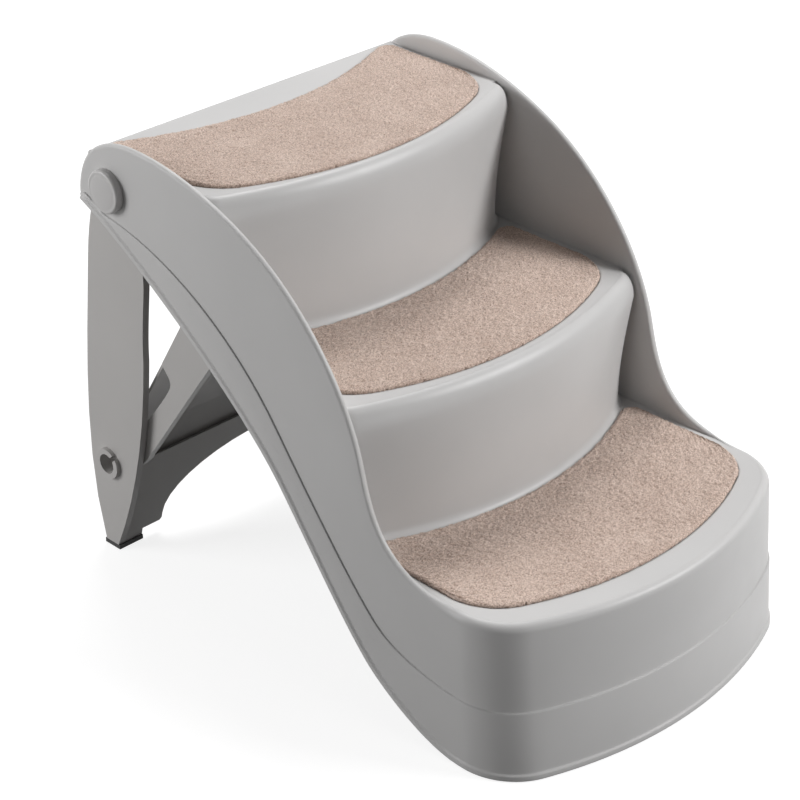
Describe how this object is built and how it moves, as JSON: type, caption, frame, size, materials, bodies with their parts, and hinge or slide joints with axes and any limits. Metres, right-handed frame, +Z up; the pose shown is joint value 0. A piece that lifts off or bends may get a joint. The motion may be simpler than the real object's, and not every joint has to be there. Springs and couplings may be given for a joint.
{
  "type": "folding pet stairs",
  "caption": "Folding plastic pet stairs: bow-fronted carpeted steps between S-curved side walls, standing at the back on a hinged, braced leg.",
  "frame": {"origin": "on the floor, in the middle of the footprint's box", "axes": "+X to the right seen from the front, -Y towards the front where the pet steps on, +Z up"},
  "size_m": [0.438, 0.6562, 0.491],
  "materials": {
    "shell_plastic": "fine satin moulded polypropylene",
    "leg_plastic": "fine satin moulded polypropylene",
    "brace_plastic": "fine satin moulded polypropylene",
    "pin_plastic": "satin moulded plastic",
    "carpet": "short cut pile",
    "hook_tape": "woven hook tape",
    "pad_rubber": "matt",
    "washer_steel": "zinc plated",
    "screw_steel": "zinc plated"
  },
  "bodies": {
    "shell": {"step_shell": "shell_plastic", "carpet_lower": "carpet", "carpet_middle": "carpet", "carpet_upper": "carpet", "hook_tape_lower": "hook_tape", "hook_tape_middle": "hook_tape", "hook_tape_upper": "hook_tape", "pivot_pin_left": "pin_plastic", "pivot_pin_right": "pin_plastic", "pivot_washer_left": "washer_steel", "pivot_washer_right": "washer_steel", "pivot_screws": "screw_steel", "front_pad_left": "pad_rubber", "front_pad_right": "pad_rubber"},
    "leg": {"rear_leg": "leg_plastic", "foot_pad_left": "pad_rubber", "foot_pad_right": "pad_rubber"},
    "brace": {"brace": "brace_plastic"}
  },
  "joints": [
    {"name": "leg_fold", "type": "hinge", "parent": "shell", "child": "leg", "pos_m": [0, 0.25641, 0.437], "axis": [-1, 0, 0], "range_deg": [0, 36]},
    {"name": "brace_fold", "type": "hinge", "parent": "leg", "child": "brace", "pos_m": [0, 0.29791, 0.106], "axis": [-1, 0, 0], "range_deg": [0, 28.1]}
  ],
  "couplings": [
    {"joint": "brace_fold", "follows": "leg_fold", "ratio": 0.7777}
  ]
}
